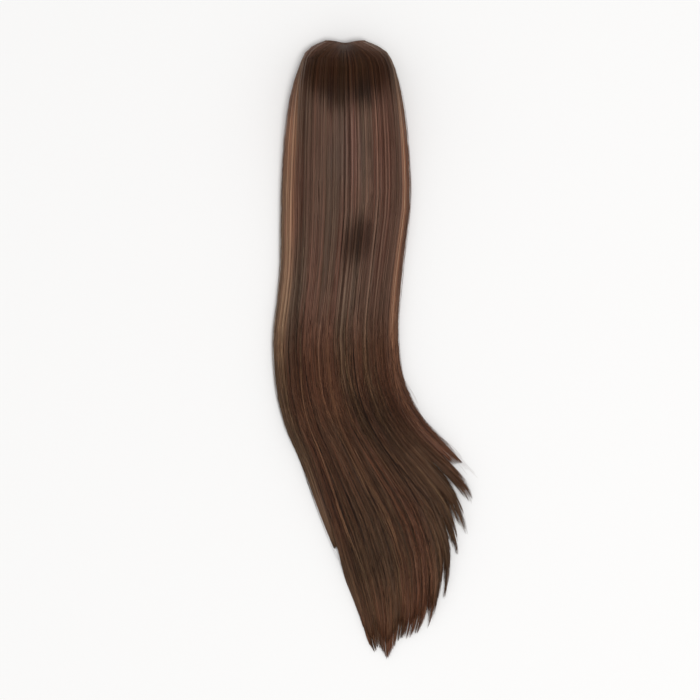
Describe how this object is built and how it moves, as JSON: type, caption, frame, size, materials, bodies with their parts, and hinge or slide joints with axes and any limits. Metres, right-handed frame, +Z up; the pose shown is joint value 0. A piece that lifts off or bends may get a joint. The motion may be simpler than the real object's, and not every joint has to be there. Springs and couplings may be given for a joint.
{
  "type": "ponytail hairpiece",
  "caption": "Long straight ponytail of false hair, lying flat, its domed head sewn over a cloth saddle on a closed claw clip, its tips fanning to one side.",
  "frame": {"origin": "on the table, below the middle of the whole hairpiece", "axes": "+Z up from the table to the outer side of the hair, +Y along the hair from its tips to its head, +X to the side that the tips fan towards"},
  "size_m": [0.1982, 0.619, 0.0505],
  "materials": {
    "clip_plastic": "moulded, near black",
    "saddle_cloth": "close weave, dark brown, machine-sewn",
    "brown_hair": "straight fine fibre with a satin sheen, mid brown with lighter and darker streaks",
    "deep_brown_hair": "straight fine fibre with a satin sheen, deep brown",
    "caramel_hair": "straight fine fibre with a satin sheen, caramel highlights"
  },
  "bodies": {
    "root": {"claw_clip": "clip_plastic", "weft_saddle": "saddle_cloth", "crown_layer": "brown_hair", "under_layer": "deep_brown_hair", "left_lock": "caramel_hair", "right_lock": "caramel_hair"}
  },
  "joints": []
}
